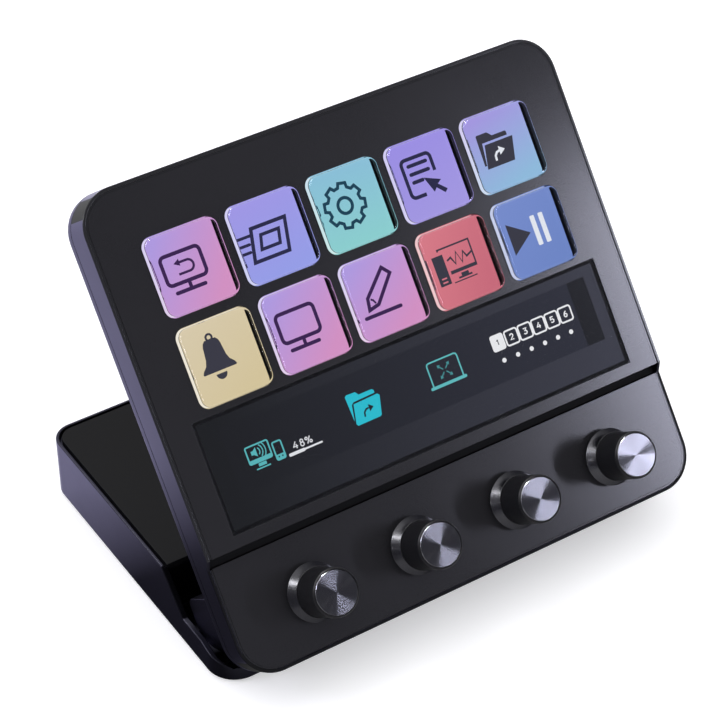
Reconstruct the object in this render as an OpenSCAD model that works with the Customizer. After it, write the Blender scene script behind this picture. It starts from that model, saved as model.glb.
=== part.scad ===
// Macro keypad with knobs: a screen head on a hinge, held up by a low, weighted base.
// The head carries a knob band, a touch strip and ten clear keys over a display.
// Head pieces are drawn flat, X across, Y up the face and Z out of the front rim,
// and place_head() stands them on the hinge. Base pieces are drawn from the base's front edge.

/* [Key field] */
// Side of a square key cap
key_w = 20; // [18:0.5:22]
// Corner radius of a key cap
key_r = 2.4; // [1:0.1:4]
// Gap between two key columns
key_gap_u = 3.1; // [2.6:0.1:5]
// Gap between two key rows
key_gap_v = 3.3; // [2.6:0.1:5]
// Height of a key cap over the front plate
key_proud = 1.6; // [1.2:0.1:2.5]
// How far a key goes down
key_travel = 1; // [0.6:0.1:1.6]
// Width of the lip that keeps a key behind the plate
key_lip = 0.8; // [0.6:0.1:0.9]
// Thickness of that lip
key_lip_t = 1; // [0.6:0.1:1.5]
// Free play between the lip and the plate
key_play = 0.2; // [0.1:0.05:0.3]
// Border of the key grid round the outer keys
grid_border = 1.2; // [0.8:0.1:1.4]
// How far the mat reaches under a key's edge
mat_lip = 0.1; // [0.1:0.1:1]

/* [Touch strip] */
// Height of the touch strip
strip_h = 28.9; // [20:0.1:40]
// Space between the strip and the side of the head
strip_side = 8.75; // [8.5:0.25:20]
// Space between the groove and the strip
strip_gap = 3.2; // [2:0.1:6]
// Thickness of the strip's lens
lens_t = 0.9; // [0.6:0.1:1.2]
// Width of the ledge that the lens is glued to
lens_ledge = 1; // [0.8:0.1:2]
// Thickness of the strip's display
strip_display_t = 2.2; // [1.5:0.1:3]

/* [Head shell] */
// Space between the key field and the side of the head
side_margin = 12.8; // [12.4:0.1:20]
// Space between the key field and the top of the head
top_margin = 14.9; // [13:0.1:20]
// Corner radius of the head
corner_r = 10; // [6:0.5:14]
// Wall of the head frame and of the rear cover
head_wall = 2.2; // [1.8:0.1:2.6]
// Width of the rim round the inset plates
rim_w = 0.9; // [0.6:0.1:1.2]
// Gap between the rim and an inset plate
rim_gap = 0.5; // [0.3:0.1:0.8]
// Thickness of the front plate
plate_t = 1.6; // [1.4:0.1:2.4]
// Depth of the rear cover, seam to rear face
cover_d = 3.8; // [3.2:0.1:5]
// Thickness of the rear cover's back
cover_back = 1.8; // [1.5:0.1:3]
// Free space behind the boards
rear_gap = 0.9; // [0.5:0.1:3]
// Radius of a screw boss
boss_r = 3; // [2.6:0.1:3.4]

/* [Knob band] */
// Height of the knob band
band_h = 29.9; // [26:0.1:36]
// How far the knob band is set back
band_back = 2.2; // [1:0.1:3]
// Thickness of the knob plate
band_plate_t = 1.8; // [1.5:0.1:2.5]
// Width of the groove over the band
groove_w = 2.4; // [1.5:0.1:4]
// Depth of the groove below the front rim
groove_d = 3.4; // [2.6:0.1:3.8]
// Width of the bar's ledge under each plate
bar_ledge = 2; // [1.5:0.1:3]
// Thickness of the bar behind the knob plate
bar_t = 2.5; // [2:0.1:4]
// Height of the knobs' centres over the head's lower edge
knob_v = 14.75; // [13:0.25:18]

/* [Knobs] */
// Spacing of the knobs
knob_pitch = 30.26; // [24:0.02:31]
// Radius of a knob's flange
flange_r = 7.5; // [7:0.1:9]
// Height of a knob's flange
flange_h = 2.4; // [2:0.1:4]
// Radius of a knob's grip
grip_r = 6.15; // [6:0.05:6.8]
// Radius of a knob's bright disc
disc_r = 5.4; // [4.5:0.1:5.7]
// Thickness of the bright disc
disc_t = 0.8; // [0.5:0.1:1.2]
// Height of a knob from its underside
knob_h = 13.9; // [12:0.1:18]
// How far a knob clicks in
knob_travel = 0.5; // [0.2:0.05:0.5]

/* [Encoders] */
// Width of an encoder
enc_w = 12; // [11.6:0.1:14]
// Height of an encoder along the face
enc_h = 12.4; // [11.6:0.1:14]
// Depth of an encoder behind its plate
enc_d = 5; // [4.8:0.1:7]
// Thickness of an encoder's front wall
enc_wall = 2.2; // [1.5:0.1:2.4]
// Floor under the shaft
enc_floor = 0.3; // [0.3:0.05:0.4]
// Diameter of an encoder's threaded neck
neck_dia = 6.8; // [6.7:0.1:7.4]
// Height of the neck over the knob plate
neck_h = 3.4; // [2.6:0.1:3.6]
// Diameter of an encoder's shaft
shaft_dia = 6; // [5:0.1:6]
// Depth of the flat on the shaft
shaft_flat = 1; // [0.5:0.1:1.5]
// Radius of the rotor
rotor_r = 4.6; // [4:0.1:4.8]
// Thickness of the rotor
rotor_t = 1.2; // [0.8:0.1:1.5]
// Width of a nut over its flats
nut_af = 9; // [8.4:0.1:9.6]
// Thickness of a nut
nut_t = 1.6; // [1.2:0.1:2]

/* [Boards and displays] */
// Thickness of the key mat
mat_t = 0.4; // [0.3:0.05:0.8]
// Thickness of the switch board
switch_t = 0.5; // [0.4:0.05:1]
// Thickness of the display behind the keys
key_display_t = 1.8; // [1.2:0.1:2.5]
// Border of the display round the key field
display_border = 1.2; // [0.8:0.1:1.4]
// Free space in front of the main board
board_gap = 0.8; // [0.5:0.1:1.2]
// Thickness of the circuit boards
board_t = 1; // [0.8:0.1:1.6]
// Height of the chips on the main board
chip_t = 1.4; // [0.8:0.1:2]
// Width of a flat ribbon
ribbon_w = 18; // [8:1:24]
// Thickness of a flat ribbon
ribbon_t = 0.3; // [0.15:0.05:0.4]
// Length of a ribbon's soldered foot
ribbon_foot = 6; // [4:0.5:8]
// Width of the power and data socket
usb_w = 9; // [8.6:0.1:9.6]
// Height of the socket
usb_h = 3.2; // [2.8:0.1:3.4]
// Length of the socket
usb_l = 7.2; // [6:0.1:9]
// Play round the socket in its slot
usb_play = 0.2; // [0.1:0.05:0.3]

/* [Base] */
// Depth of the base
base_d = 91.2; // [80:0.2:110]
// Height of the base over its feet
base_h = 18; // [17.4:0.1:21]
// Plan radius of the front corners
base_front_r = 8; // [6.5:0.5:10]
// Plan radius of the rear corners
base_rear_r = 6; // [4:0.5:10]
// Thickness of the floor
floor_t = 1.8; // [1.6:0.1:2.4]
// Wall of the base round the hinge bay
bay_wall = 1.6; // [1.4:0.1:1.8]
// Plan radius inside the hinge bay's front corners
bay_r = 4.5; // [4:0.1:5]
// Depth of the hinge bay, to its rear wall
bay_d = 29.7; // [27:0.1:34]
// Depth of the step in the side walls
step_d = 30; // [28:0.1:36]
// Depth of the low part of the side walls
low_d = 20; // [16:0.1:24]
// Depth of the sloped lip
lip_d = 11; // [9:0.1:14]
// Height of the low part of the side walls
low_h = 7.6; // [6.6:0.1:9]
// Height of the front lip
lip_h = 4; // [3:0.1:4.2]
// Wall of the base behind the hinge bay
base_wall = 2.2; // [1.9:0.1:3]
// Gap between the rim and the base's top plate
top_gap = 0.7; // [0.4:0.1:0.8]
// Thickness of the base's top plate
top_t = 1.8; // [1.4:0.1:2.5]
// Gap between the ballast plate and the wall behind the hinge bay
ballast_front = 4; // [1:0.1:12]
// Gap between the ballast plate and the rear wall
ballast_rear = 3.7; // [1:0.1:12]
// Gap between the ballast plate and the screw bosses
ballast_side = 5; // [1:0.5:20]
// Thickness of the ballast plate
ballast_t = 4; // [2:0.5:8]
// Diameter of a foot
foot_dia = 10; // [8:0.5:11]
// Height of a foot below the base
foot_proud = 0.8; // [0.5:0.1:1.5]
// Depth of a foot's recess
foot_recess = 0.8; // [0.5:0.1:1]
// Distance of the feet from the sides
foot_side = 11; // [9:0.5:14]
// Distance of the feet from the front
foot_front = 15; // [10:0.5:18]
// Distance of the feet from the rear
foot_rear = 17; // [16:0.5:24]

/* [Hinge] */
// Slope of the head over the table
tilt = 50.8; // [20:0.1:60]
// Distance of the hinge from the base's front edge
hinge_y = 7.76; // [7.5:0.02:8.4]
// Distance of the hinge behind the head's rear face
hinge_back = 6.8; // [6.6:0.1:7.2]
// Gap between the folded head and the base
fold_gap = 0.4; // [0.3:0.1:0.8]
// Gap between the hinge housing and the floor
housing_gap = 0.8; // [0.5:0.1:1.2]
// Side gap between the hinge housing and the base
housing_side = 0.4; // [0.3:0.1:0.8]
// Height of the housing's lower edge over the head's lower edge
housing_v = 3.1; // [2:0.1:4]
// Height of the hinge housing along the head
housing_h = 18.5; // [17.6:0.1:20]
// Wall of the hinge housing
housing_wall = 1.6; // [1.2:0.1:2]
// Radius of the housing's lower corners
housing_corner_r = 10; // [9.5:0.5:12]
// Radius of the housing's upper rear edge
housing_edge_r = 2.5; // [2:0.1:3]
// Distance of a hinge post from the side of the head
hinge_side = 21; // [17:0.5:28]
// Width of a hinge post
post_w = 5; // [4:0.5:6]
// Diameter of the knuckles and of a post's round top
knuckle_dia = 8; // [7:0.2:8.2]
// Width of a knuckle
knuckle_w = 6; // [4:0.5:8]
// Diameter of a hinge pin
pin_dia = 4; // [3:0.1:4.4]
// Diameter of a pin's head
pin_head_dia = 6.5; // [5.5:0.1:7]
// Thickness of a pin's head
pin_head_t = 1; // [0.8:0.1:1.5]
// Thickness of a friction washer
washer_t = 0.8; // [0.5:0.1:1]
// Width of a hinge leaf
leaf_w = 15; // [13:0.5:18]
// Thickness of a hinge leaf
leaf_t = 2.5; // [2:0.1:2.5]

/* [Screws and fits] */
// Diameter of the head's case screws
case_screw_dia = 2; // [1.6:0.1:2.2]
// Head diameter of the case screws
case_head_dia = 3.8; // [3.2:0.1:4]
// Head height of the case screws
case_head_t = 1.2; // [0.8:0.1:1.2]
// Length of the case screws under their heads
case_screw_l = 7; // [5:0.1:7.4]
// Diameter of the hinge and base screws
screw_dia = 2.5; // [2:0.1:3]
// Head diameter of the hinge and base screws
screw_head_dia = 4.8; // [4:0.1:5]
// Head height of the hinge and base screws
screw_head_t = 0.9; // [0.6:0.1:1]
// Length of the base screws under their heads
screw_l = 7; // [5:0.1:7.4]
// Length of the hinge screws under their heads
leaf_screw_l = 3.2; // [2.5:0.1:3.3]
// Radial gap of a running pin or shaft
run_fit = 0.05; // [0.02:0.01:0.08]
// Radial gap of a pressed, threaded or bonded piece
seat_fit = 0.02; // [0.01:0.01:0.04]
// Gap between pieces that only pass each other
clear = 0.3; // [0.25:0.01:0.32]
// Side play between a washer and a knuckle
washer_gap = 0.1; // [0.05:0.01:0.2]

/* [Hidden] */

$fn = 48;
// Overshoot of a cut past the face it opens
cut = 1;

// The head has ten keys in two rows, and four knobs
key_cols = 5;
key_rows = 2;
knob_count = 4;
pitch_u = key_w + key_gap_u;
pitch_v = key_w + key_gap_v;
field_w = key_cols * pitch_u - key_gap_u;
field_h = key_rows * pitch_v - key_gap_v;

// Heights along the head's face
groove_v = band_h + groove_w;
strip_v = groove_v + strip_gap;
field_margin = 2;
field_v = strip_v + strip_h + field_margin;
head_h = field_v + field_h + top_margin;
body_w = field_w + 2 * side_margin;
strip_w = body_w - 2 * strip_side;

// Depths behind the front rim, in the order of the stack
grid_t = key_play + key_lip_t + key_travel + clear;
strip_rear_n = plate_t + strip_display_t;
mat_n = plate_t + grid_t;
switch_n = mat_n + mat_t;
key_display_n = switch_n + switch_t;
board_n = key_display_n + key_display_t + board_gap;
board_rear_n = board_n + board_t;
enc_n = band_back + band_plate_t;
enc_board_n = enc_n + enc_d;
stack_n = max(board_rear_n + chip_t, enc_board_n + board_t);
head_t = stack_n + rear_gap + cover_back;
seam_n = head_t - cover_d;
back_n = head_t - cover_back;

// The strip display's ribbon folds down behind the middle of the strip
strip_fold_v = strip_v + strip_h / 2;

// Cross bar between the plates
bar_low_v = band_h - bar_ledge;
bar_top_v = groove_v + bar_ledge;
bar_bottom_n = enc_n + bar_t;

// Case bosses stand in from the walls, and ribs tie them
boss_gap = 0.5;
boss_inset = head_wall + boss_r + boss_gap;
boss_x = body_w / 2 - boss_inset;
top_boss_side = 19;
boss_top_x = body_w / 2 - top_boss_side;
boss_rib_w = 3;
cover_boss_n = back_n + cover_back / 2;
side_boss_rise = 4.7;
side_boss_v = [bar_top_v + boss_r + side_boss_rise, field_v + key_w + key_gap_v / 2];
band_boss_rise = 4;
band_boss_v = corner_r + band_boss_rise;
top_boss_v = head_h - boss_inset;
board_edge = 0.5;
board_rise = 1.7;
board_low_v = bar_top_v + board_rise;
// The encoder board's ribbon folds below the main board's lower edge
fold_drop = 2;
board_fold_v = board_low_v - fold_drop;

// Knobs
underside_n = knob_travel + clear - band_back;
cap_n = underside_n + knob_h;
disc_seat_t = 1.9;
shaft_top_n = cap_n - disc_t - disc_seat_t;
shaft_end_n = enc_board_n - enc_floor - knob_travel - clear;
rotor_n = enc_n + enc_wall + clear;
neck_top_n = neck_h - band_back;
neck_room_n = neck_top_n + knob_travel + clear;
neck_room = 0.5;
neck_room_r = neck_dia / 2 + neck_room;
nut_room_n = nut_t - band_back + knob_travel + clear;
nut_room = 0.7;
nut_room_r = nut_af / 2 / cos(30) + nut_room;
edge = 0.3;
enc_board_gap = 3.9;
enc_board_w = 2 * (boss_x - boss_r - enc_board_gap);
enc_board_border = 3.8;
enc_board_h = enc_h + 2 * enc_board_border;
enc_board_top_v = knob_v + enc_board_h / 2;
enc_board_rear_n = enc_board_n + board_t;

// Socket at the middle of the top wall
usb_n = board_n - usb_h / 2;
usb_recess = 0.5;
usb_front_v = head_h - usb_recess;
usb_shell = 0.3;
usb_tongue_gap = 1.1;
usb_tongue_w = usb_w - 2 * usb_tongue_gap;
usb_tongue_t = 0.7;

// Blocks on the main board's rear: X, height over its lower edge, width, height
chips = [[-40, 44, 14, 14], [-18, 52, 10, 8], [-18, 38, 8, 8], [10, 60, 12, 10],
    [34, 48, 6, 6], [44, 30, 16, 5], [0, 20, 20, 4], [-46, 16, 7, 7]];

// Hinge, from the base's front edge and the underside of its floor
hinge_z = base_h + fold_gap - hinge_back;
hinge_n = head_t + hinge_back;
housing_r = hinge_z - floor_t - housing_gap;
hinge_v = housing_v + housing_r;
housing_w = body_w - 2 * (bay_wall + housing_side);
housing_rear_n = hinge_n + housing_r;
hinge_x = body_w / 2 - hinge_side;
knuckle_r = knuckle_dia / 2;
slot_gap = 0.5;
slot_w = post_w + 2 * slot_gap;
// Screws that hold the housing: near the middle, and beside each post's slot
mid_screw_x = 14;
slot_screw_gap = 3;
washer_x = hinge_x - post_w / 2 - washer_t;
knuckle_x = washer_x - washer_gap - knuckle_w;
inner_washer_x = knuckle_x - washer_gap - washer_t;
leaf_x = knuckle_x + knuckle_w - leaf_w;
leaf_low_v = housing_v + housing_wall + clear;
leaf_h = housing_h - 2 * (housing_wall + clear);
leaf_screw_edge = 3;
leaf_screw_x = leaf_x + leaf_screw_edge;
leaf_screw_v = [leaf_low_v + leaf_screw_edge, leaf_low_v + leaf_h - leaf_screw_edge];
leaf_screw_end_n = back_n + screw_head_t + leaf_screw_l;
housing_screw_x = [mid_screw_x, hinge_x + slot_w / 2 + slot_screw_gap + boss_r];
// Scoop in the base's low lip, for the housing's lower edge
sweep_gap = 0.66;
sweep_r = housing_r + sweep_gap;
sweep_side = 1.8;
sweep_w = housing_w - 2 * sweep_side;

// Base
partition_t = bay_wall;
ledge_h = base_h - top_t;
top_inset = rim_w + top_gap;
base_boss_side = 3.8;
base_boss_x = body_w / 2 - base_wall - boss_r - base_boss_side;
base_boss_front = 8.3;
base_boss_rear = 2;
base_boss_y = [bay_d + base_boss_front, base_d - base_wall - boss_r - base_boss_rear];
foot_x = body_w / 2 - foot_side;
ballast_y = bay_d + partition_t + ballast_front;
ballast_l = base_d - base_wall - ballast_rear - ballast_y;
ballast_w = 2 * (base_boss_x - boss_r - ballast_side);

// The model stands with the middle of its box on the origin
lean_sin = sin(tilt);
lean_cos = cos(tilt);
function face_y(v, n) = hinge_y + (v - hinge_v) * lean_cos - (n + hinge_n) * lean_sin;
front_y = min(face_y(knob_v - grip_r, cap_n - edge), face_y(knob_v - grip_r + edge, cap_n));
base_y0 = -(front_y + base_d) / 2;

function key_u(i) = (i % key_cols - (key_cols - 1) / 2) * pitch_u;
function key_v(i) = field_v + key_w / 2 + (key_rows - 1 - floor(i / key_cols)) * pitch_v;
function knob_u(i) = (i - (knob_count - 1) / 2) * knob_pitch;

// ---------- Placing and shared shapes ----------

module place_base() {
    translate([0, base_y0, foot_proud]) children();
}

module place_head() {
    place_base() translate([0, hinge_y, hinge_z]) rotate([tilt, 0, 0])
        translate([0, -hinge_v, hinge_n]) children();
}

// A flat layer whose front face lies at n, t thick toward the rear
module layer(n, t) {
    translate([0, 0, n - t]) linear_extrude(t) children();
}

// A prism along X from a profile drawn in Y and Z
module across(w) {
    rotate([90, 0, 90]) translate([0, 0, -w / 2]) linear_extrude(w) children();
}

// A prism along X that starts at x
module along_x(x, w) {
    translate([x + w / 2, 0, 0]) across(w) children();
}

module round_rect(w, h, r) {
    translate([-w / 2 + r, 0]) square([w - 2 * r, h]);
    translate([-w / 2, r]) square([w, h - 2 * r]);
    for (x = [-1, 1], y = [r, h - r])
        translate([x * (w / 2 - r), y]) circle(r);
}

module head_outline(inset = 0) {
    translate([0, inset])
        round_rect(body_w - 2 * inset, head_h - 2 * inset, corner_r - inset);
}

// The part of the head's outline between two heights
module outline_between(low, high, inset = 0) {
    intersection() {
        head_outline(inset);
        translate([-body_w / 2, low]) square([body_w, high - low]);
    }
}

module strip_rect(inset = 0) {
    translate([-strip_w / 2 + inset, strip_v + inset])
        square([strip_w - 2 * inset, strip_h - 2 * inset]);
}

module key_rect(grow, r) {
    translate([0, -key_w / 2 - grow]) round_rect(key_w + 2 * grow, key_w + 2 * grow, r);
}

module field_rect(grow) {
    translate([-field_w / 2 - grow, field_v - grow])
        square([field_w + 2 * grow, field_h + 2 * grow]);
}

module at_keys() {
    for (i = [0:key_cols * key_rows - 1]) translate([key_u(i), key_v(i)]) children();
}

module at_knobs() {
    for (i = [0:knob_count - 1]) at_knob(i) children();
}

module at_knob(i) {
    translate([knob_u(i), knob_v, 0]) children();
}

module at_side_bosses() {
    for (x = [-boss_x, boss_x], v = side_boss_v) translate([x, v, 0]) children();
}

module at_top_bosses() {
    for (x = [-boss_top_x, boss_top_x]) translate([x, top_boss_v, 0]) children();
}

module at_band_bosses() {
    for (x = [-boss_x, boss_x]) translate([x, band_boss_v, 0]) children();
}

module at_case_screws() {
    at_side_bosses() children();
    at_top_bosses() children();
    at_band_bosses() children();
}

module at_leaf_screws() {
    for (s = [-1, 1], v = leaf_screw_v) translate([s * leaf_screw_x, v, 0]) children();
    for (s = [-1, 1], x = housing_screw_x) translate([s * x, hinge_v, 0]) children();
}

module at_base_screws() {
    for (x = [-base_boss_x, base_boss_x], y = base_boss_y) translate([x, y, 0]) children();
    for (x = [-hinge_x, hinge_x]) translate([x, hinge_y, 0]) children();
}

// A tube along Z from n down to depth
module bore(r, n, depth) {
    translate([0, 0, n - depth]) cylinder(h = depth, r = r);
}

// A bar with round sides along Y
module stadium_bar(w, h, l) {
    rotate([-90, 0, 0]) linear_extrude(l) {
        square([w - h, h], center = true);
        for (s = [-1, 1]) translate([s * (w - h) / 2, 0]) circle(h / 2);
    }
}

// ---------- Base ----------

module base_plan(inset, front_r, rear_r) {
    w = body_w - 2 * inset;
    d = base_d - 2 * inset;
    translate([-w / 2 + front_r, inset]) square([w - 2 * front_r, front_r]);
    translate([-w / 2, inset + front_r]) square([w, d - front_r - rear_r]);
    translate([-w / 2 + rear_r, inset + d - rear_r]) square([w - 2 * rear_r, rear_r]);
    for (s = [-1, 1]) {
        translate([s * (w / 2 - front_r), inset + front_r]) circle(front_r);
        translate([s * (w / 2 - rear_r), inset + d - rear_r]) circle(rear_r);
    }
}

module base_profile() {
    polygon([[0, 0], [base_d, 0], [base_d, base_h], [step_d, base_h],
        [low_d, low_h], [lip_d, low_h], [0, lip_h]]);
}

module behind(y) {
    translate([-body_w, y]) square([2 * body_w, base_d]);
}

module base_shell() color("#55525f") place_base() difference() {
    intersection() {
        across(body_w) base_profile();
        linear_extrude(base_h) base_plan(0, base_front_r, base_rear_r);
    }
    // Hinge bay, open at the top and over the low front lip
    translate([0, 0, floor_t]) linear_extrude(base_h) intersection() {
        base_plan(bay_wall, bay_r, base_rear_r - bay_wall);
        translate([-body_w, 0]) square([2 * body_w, bay_d]);
    }
    translate([0, hinge_y, hinge_z]) across(sweep_w) circle(sweep_r);
    // Chamber for the ballast, with a ledge for the top plate
    translate([0, 0, floor_t]) linear_extrude(base_h) intersection() {
        base_plan(base_wall, base_front_r - base_wall, base_rear_r - base_wall);
        behind(bay_d + partition_t);
    }
    translate([0, 0, ledge_h]) linear_extrude(base_h) intersection() {
        base_plan(rim_w, base_front_r - rim_w, base_rear_r - rim_w);
        behind(bay_d);
    }
    at_feet() translate([0, 0, -cut]) cylinder(h = foot_recess + cut, d = foot_dia);
    at_base_screws() {
        translate([0, 0, -cut]) cylinder(h = screw_head_t + cut, d = screw_head_dia + 2 * seat_fit);
        translate([0, 0, -cut]) cylinder(h = base_h, d = screw_dia + 2 * seat_fit);
    }
}

module base_top() color("#2a2a2d") place_base() difference() {
    union() {
        translate([0, 0, ledge_h]) linear_extrude(top_t) intersection() {
            base_plan(top_inset, base_front_r - top_inset, base_rear_r - top_inset);
            behind(bay_d);
        }
        for (x = [-base_boss_x, base_boss_x], y = base_boss_y)
            translate([x, y, floor_t]) cylinder(h = ledge_h - floor_t + cut, r = boss_r);
    }
    at_base_screws() cylinder(h = screw_head_t + screw_l, d = screw_dia + 2 * seat_fit);
}

module ballast_plate() color("#8a8d91") place_base()
    translate([-ballast_w / 2, ballast_y, floor_t]) cube([ballast_w, ballast_l, ballast_t]);

module at_feet() {
    for (x = [-foot_x, foot_x], y = [foot_front, base_d - foot_rear])
        translate([x, y, 0]) children();
}

module rubber_feet() color("#1c1c1e") place_base() at_feet()
    translate([0, 0, -foot_proud])
        cylinder(h = foot_proud + foot_recess, d = foot_dia - 2 * seat_fit);

module base_screws() color("#9a9aa0") place_base() at_base_screws() {
    cylinder(h = screw_head_t, d = screw_head_dia);
    cylinder(h = screw_head_t + screw_l, d = screw_dia);
}

// ---------- Hinge ----------

// Draws a hinge piece at x and its mirror image
module both_sides() {
    children();
    mirror([1, 0, 0]) children();
}

module hinge_posts() color("#77777d") place_base() both_sides() difference() {
    along_x(hinge_x - post_w / 2, post_w) {
        translate([hinge_y - knuckle_r, floor_t]) square([knuckle_dia, hinge_z - floor_t]);
        translate([hinge_y, hinge_z]) circle(knuckle_r);
    }
    along_x(hinge_x - post_w / 2 - cut, post_w + 2 * cut)
        translate([hinge_y, hinge_z]) circle(pin_dia / 2 + seat_fit);
    translate([hinge_x, hinge_y, 0])
        cylinder(h = screw_head_t + screw_l, d = screw_dia + 2 * seat_fit);
}

module hinge_pins() color("#c4c4c8") place_base() both_sides()
    translate([0, hinge_y, hinge_z]) {
        along_x(inner_washer_x, hinge_x + post_w / 2 - inner_washer_x) circle(pin_dia / 2);
        along_x(hinge_x + post_w / 2, pin_head_t) circle(pin_head_dia / 2);
    }

module hinge_washers() color("#b9a26a") place_base() both_sides()
    for (x = [washer_x, inner_washer_x])
        translate([0, hinge_y, hinge_z]) along_x(x, washer_t) difference() {
            circle(knuckle_r);
            circle(pin_dia / 2 + seat_fit);
        }

// The side profile of the hinge housing, drawn in with every wall inset
module housing_profile(inset, open) {
    low = housing_v + inset;
    high = housing_v + housing_h - inset;
    rear = -housing_rear_n + inset;
    front = -head_t + open;
    r = housing_edge_r - inset / 2;
    translate([low, -hinge_n]) square([high - low, hinge_n + front]);
    translate([hinge_v, rear]) square([high - r - hinge_v, -hinge_n - rear]);
    translate([high - r, rear + r]) square([r, -hinge_n - rear - r]);
    translate([high - r, rear + r]) circle(r);
    intersection() {
        translate([hinge_v, -hinge_n]) circle(housing_r - inset);
        translate([low, rear]) square([hinge_v - low, -hinge_n - rear]);
    }
}

module housing_solid(inset, open) {
    w = housing_w - 2 * inset;
    intersection() {
        across(w) housing_profile(inset, open);
        layer(-head_t + open, housing_rear_n)
            translate([0, housing_v + inset])
                round_rect(w, 2 * housing_h, housing_corner_r - inset);
    }
}

module hinge_housing() color("#4a4753") place_head() difference() {
    union() {
        difference() {
            housing_solid(0, 0);
            housing_solid(housing_wall, cut);
        }
        for (s = [-1, 1], x = housing_screw_x)
            translate([s * x, hinge_v, 0])
                bore(boss_r, -head_t, housing_rear_n - head_t - housing_wall / 2);
    }
    // Slots that let the posts swing through the lower and rear walls
    both_sides()
        translate([hinge_x - slot_w / 2, housing_v - cut, -housing_rear_n - cut])
            cube([slot_w, housing_r + knuckle_r + slot_gap + cut,
                housing_rear_n + cut - hinge_n + knuckle_r + clear]);
    for (s = [-1, 1], x = housing_screw_x)
        translate([s * x, hinge_v, 0])
            bore(screw_dia / 2 + seat_fit, 0, leaf_screw_end_n);
}

module hinge_leaves() color("#77777d") place_head() both_sides() difference() {
    union() {
        translate([leaf_x, leaf_low_v, -head_t - leaf_t]) cube([leaf_w, leaf_h, leaf_t]);
        along_x(knuckle_x, knuckle_w) {
            translate([hinge_v - knuckle_r, -hinge_n])
                square([knuckle_dia, hinge_n - head_t - leaf_t / 2]);
            translate([hinge_v, -hinge_n]) circle(knuckle_r);
        }
    }
    along_x(knuckle_x - cut, knuckle_w + 2 * cut)
        translate([hinge_v, -hinge_n]) circle(pin_dia / 2 + run_fit);
    for (v = leaf_screw_v)
        translate([leaf_screw_x, v, 0]) bore(screw_dia / 2 + seat_fit, 0, hinge_n);
}

// Screws from inside the head hold the leaves and the housing
module leaf_screws() color("#9a9aa0") place_head() at_leaf_screws() {
    bore(screw_head_dia / 2, -back_n, screw_head_t);
    bore(screw_dia / 2, -back_n, leaf_screw_end_n - back_n);
}

// ---------- Head case ----------

// Everything in front of the knob band's face, with its sloped shoulders
module band_step() {
    across(body_w + 2 * cut) polygon([[-cut, cut], [-cut, -band_back],
        [band_h, -band_back], [groove_v, 0], [groove_v, cut]]);
}

module head_frame() color("#6b6878") place_head() difference() {
    union() {
        difference() {
            layer(0, seam_n) head_outline();
            band_step();
            layer(cut, plate_t + cut) outline_between(groove_v, head_h, rim_w);
            layer(cut, groove_d + cut) outline_between(band_h, groove_v, rim_w);
            layer(cut, enc_n + cut) outline_between(0, band_h, rim_w);
            layer(0, seam_n + cut) outline_between(bar_top_v, head_h, head_wall);
            layer(0, seam_n + cut) outline_between(0, bar_low_v, head_wall);
            layer(-bar_bottom_n, seam_n) outline_between(bar_low_v - cut, bar_top_v + cut, head_wall);
        }
        at_side_bosses() bore(boss_r, -plate_t, board_n - plate_t);
        at_top_bosses() bore(boss_r, -plate_t, board_n - plate_t);
        at_band_bosses() bore(boss_r, -enc_n, seam_n - enc_n);
        both_sides() {
            for (v = side_boss_v) boss_rib(boss_x, v, plate_t, board_n);
            boss_rib(boss_x, band_boss_v, enc_n, seam_n);
        }
        for (x = [-boss_top_x, boss_top_x])
            translate([x - boss_rib_w / 2, top_boss_v, -board_n])
                cube([boss_rib_w, boss_inset - head_wall / 2, board_n - plate_t]);
    }
    at_case_screws() bore(case_screw_dia / 2 + seat_fit, -head_t + case_screw_l + case_head_t,
        head_t);
    translate([0, head_h - head_wall - cut, -usb_n])
        stadium_bar(usb_w + 2 * usb_play, usb_h + 2 * usb_play, head_wall + 2 * cut);
}

// A rib from a side boss to the wall
module boss_rib(x, v, front, rear) {
    translate([x, v - boss_rib_w / 2, -rear])
        cube([body_w / 2 - head_wall / 2 - x, boss_rib_w, rear - front]);
}

module front_plate() color("#3a3a3e") place_head() difference() {
    layer(0, plate_t) outline_between(groove_v, head_h, rim_w + rim_gap);
    layer(cut, plate_t + 2 * cut) at_keys() key_rect(clear, key_r + clear);
    layer(cut, lens_t + cut) strip_rect();
    layer(cut, plate_t + 2 * cut) strip_rect(lens_ledge);
}

module knob_plate() color("#3a3a3e") place_head() difference() {
    layer(-band_back, band_plate_t) outline_between(0, band_h, rim_w + rim_gap);
    at_knobs() bore(neck_dia / 2 + run_fit, 0, head_t);
}

module rear_cover() color("#6b6878") place_head() difference() {
    union() {
        difference() {
            layer(-seam_n, cover_d) head_outline();
            layer(-seam_n + cut, cover_d + cut - cover_back) head_outline(head_wall);
        }
        at_side_bosses() bore(boss_r, -board_rear_n, cover_boss_n - board_rear_n);
        at_top_bosses() bore(boss_r, -board_rear_n, cover_boss_n - board_rear_n);
        at_band_bosses() bore(boss_r, -seam_n, cover_boss_n - seam_n);
    }
    at_case_screws() {
        bore(case_screw_dia / 2 + seat_fit, 0, head_t + cut);
        bore(case_head_dia / 2 + seat_fit, -head_t + case_head_t, case_head_t + cut);
    }
    at_leaf_screws() {
        bore(screw_dia / 2 + seat_fit, 0, head_t + cut);
        bore(screw_head_dia / 2 + seat_fit, 0, back_n + screw_head_t);
    }
}

module case_screws() color("#9a9aa0") place_head() at_case_screws() {
    bore(case_head_dia / 2, -head_t + case_head_t, case_head_t);
    bore(case_screw_dia / 2, -head_t + case_head_t + case_screw_l, case_screw_l + case_head_t);
}

// ---------- Touch strip ----------

module strip_lens() color("#0c0c10") place_head() layer(0, lens_t) strip_rect(seat_fit);

module touch_sensor() color("#20303a") place_head()
    layer(-lens_t, plate_t - lens_t) strip_rect(lens_ledge + clear);

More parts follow.
